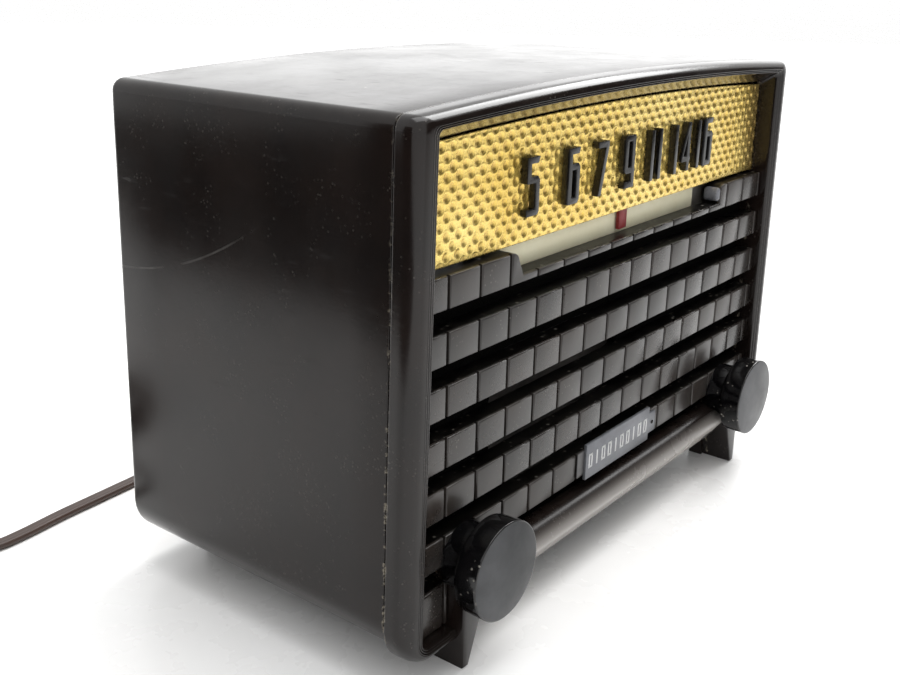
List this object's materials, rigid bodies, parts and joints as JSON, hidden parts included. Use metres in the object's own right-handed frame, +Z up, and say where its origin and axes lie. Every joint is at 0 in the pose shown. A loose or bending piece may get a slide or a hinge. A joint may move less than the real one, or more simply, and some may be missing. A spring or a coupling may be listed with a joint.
{
  "type": "table radio",
  "caption": "Small moulded table radio with tiled front grille, gold dial panel, sliding pointer, two knobs, works inside and a flat mains cord.",
  "frame": {"origin": "on the table, midway between the feet: bottom centre of the box around the radio without its cord", "axes": "+X to the right of someone facing the front, +Y from the front to the back, +Z up"},
  "size_m": [0.3742, 0.345, 0.1871],
  "materials": {
    "bakelite": "moulded phenolic, dusty gloss",
    "gold": "gold lacquer over embossed metal",
    "numeral": "black, glossy faces",
    "ivory": "satin",
    "pointer": "satin red",
    "steel": "plated, dull",
    "dark_steel": "dark paint",
    "aluminium": "satin",
    "brass": "satin",
    "copper": "varnished winding on card",
    "tube_glass": "clear, getter-grey",
    "phenolic": "satin",
    "paper": "paper felt, matt",
    "cloth": "open weave",
    "board": "hardboard, matt",
    "rubber": "matt",
    "cord": "brown, dull",
    "plug": "satin",
    "plate": "satin grey"
  },
  "bodies": {
    "radio": {"cabinet_shell": "bakelite", "front_bezel": "bakelite", "dial_panel": "gold", "numeral_5": "numeral", "numeral_6": "numeral", "numeral_7": "numeral", "numeral_9": "numeral", "numeral_11_first": "numeral", "numeral_11_last": "numeral", "numeral_14_first": "numeral", "numeral_14_last": "numeral", "numeral_16_first": "numeral", "numeral_16_last": "numeral", "dial_scale_strip": "ivory", "dial_backplate": "steel", "volume_control": "steel", "tuning_capacitor_frame": "steel", "speaker_basket": "steel", "chassis": "steel", "speaker_magnet": "dark_steel", "output_transformer": "dark_steel", "if_transformer_1": "aluminium", "if_transformer_2": "aluminium", "filter_capacitor": "aluminium", "pilot_lamp_socket": "brass", "back_screw_left": "brass", "back_screw_right": "brass", "plug_blade_front": "brass", "plug_blade_back": "brass", "loop_antenna": "copper", "pilot_lamp": "tube_glass", "tube_1": "tube_glass", "tube_2": "tube_glass", "tube_3": "tube_glass", "tube_4": "tube_glass", "tube_5": "tube_glass", "tube_socket_1": "phenolic", "tube_socket_2": "phenolic", "tube_socket_3": "phenolic", "tube_socket_4": "phenolic", "tube_socket_5": "phenolic", "speaker_cone": "paper", "speaker_baffle": "cloth", "back_cover": "board", "cord_grommet": "rubber", "power_cord": "cord", "power_cord_coil": "cord", "power_plug": "plug", "nameplate": "plate"},
    "tuning_knob": {"tuning_knob": "bakelite", "tuning_shaft": "steel"},
    "volume_knob": {"volume_knob": "bakelite", "volume_shaft": "steel"},
    "pointer": {"dial_pointer": "pointer"},
    "tuner": {"dial_drum": "aluminium", "tuning_capacitor_rotor": "aluminium"},
    "pulley_left": {"dial_pulley_left": "brass"},
    "pulley_right": {"dial_pulley_right": "brass"}
  },
  "joints": [
    {"name": "tuning_knob_turn", "type": "hinge", "parent": "radio", "child": "tuning_knob", "pos_m": [0.0968, -0.06465, 0.0372], "axis": [0, 1, 0], "range_deg": [-1110, 966]},
    {"name": "volume_knob_turn", "type": "hinge", "parent": "radio", "child": "volume_knob", "pos_m": [-0.0968, -0.06465, 0.0372], "axis": [0, 1, 0], "range_deg": [-120, 180]},
    {"name": "pointer_slide", "type": "slide", "parent": "radio", "child": "pointer", "axis": [1, 0, 0], "range_m": [-0.062, 0.054]},
    {"name": "tuner_turn", "type": "hinge", "parent": "radio", "child": "tuner", "pos_m": [0.07, -0.04105, 0.082], "axis": [0, 1, 0], "range_deg": [-96.1, 83.7]},
    {"name": "pulley_left_turn", "type": "hinge", "parent": "radio", "child": "pulley_left", "pos_m": [-0.08, -0.04385, 0.131], "axis": [0, 1, 0], "range_deg": [-592.5, 515.5]},
    {"name": "pulley_right_turn", "type": "hinge", "parent": "radio", "child": "pulley_right", "pos_m": [0.098, -0.04385, 0.131], "axis": [0, 1, 0], "range_deg": [-592.5, 515.5]}
  ],
  "couplings": [
    {"joint": "pointer_slide", "follows": "tuning_knob_turn", "m_per_rad": 0.0032},
    {"joint": "tuner_turn", "follows": "tuning_knob_turn", "ratio": 0.08649},
    {"joint": "pulley_left_turn", "follows": "tuning_knob_turn", "ratio": 0.5333},
    {"joint": "pulley_right_turn", "follows": "tuning_knob_turn", "ratio": 0.5333}
  ]
}
